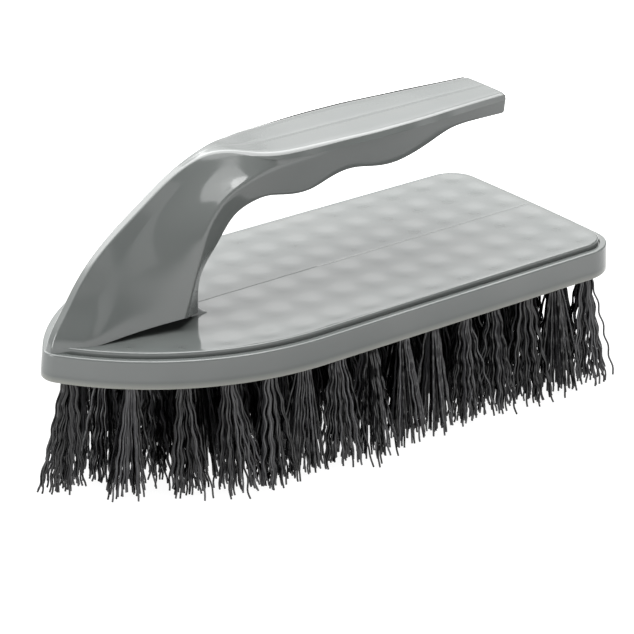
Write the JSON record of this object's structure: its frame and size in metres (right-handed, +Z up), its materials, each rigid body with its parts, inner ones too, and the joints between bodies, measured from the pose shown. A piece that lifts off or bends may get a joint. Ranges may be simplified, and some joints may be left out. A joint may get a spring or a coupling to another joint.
{
  "type": "hand scrubbing brush",
  "caption": "Iron-handled hand scrubbing brush: pointed moulded block with a cantilever grip over it and a field of crimped bristle tufts held by wire anchors.",
  "frame": {"origin": "under the middle of the block, at the level of the bristle tips", "axes": "+X from the pointed nose to the square tail, +Y across the block, +Z up from the bristle tips to the grip"},
  "size_m": [0.1487, 0.0664, 0.0753],
  "materials": {
    "body_plastic": "glossy moulded",
    "bristle": "semi-gloss crimped filament",
    "anchor_wire": "drawn wire"
  },
  "bodies": {
    "root": {"handle_block": "body_plastic", "tuft_row_01": "bristle", "tuft_row_02": "bristle", "tuft_row_03": "bristle", "tuft_row_04": "bristle", "tuft_row_05": "bristle", "tuft_row_06": "bristle", "tuft_row_07": "bristle", "tuft_row_08": "bristle", "tuft_row_09": "bristle", "tuft_row_10": "bristle", "tuft_row_11": "bristle", "tuft_row_12": "bristle", "tuft_row_13": "bristle", "tuft_row_14": "bristle", "tuft_row_15": "bristle", "anchor_row_01": "anchor_wire", "anchor_row_02": "anchor_wire", "anchor_row_03": "anchor_wire", "anchor_row_04": "anchor_wire", "anchor_row_05": "anchor_wire", "anchor_row_06": "anchor_wire", "anchor_row_07": "anchor_wire", "anchor_row_08": "anchor_wire", "anchor_row_09": "anchor_wire", "anchor_row_10": "anchor_wire", "anchor_row_11": "anchor_wire", "anchor_row_12": "anchor_wire", "anchor_row_13": "anchor_wire", "anchor_row_14": "anchor_wire", "anchor_row_15": "anchor_wire"}
  },
  "joints": []
}
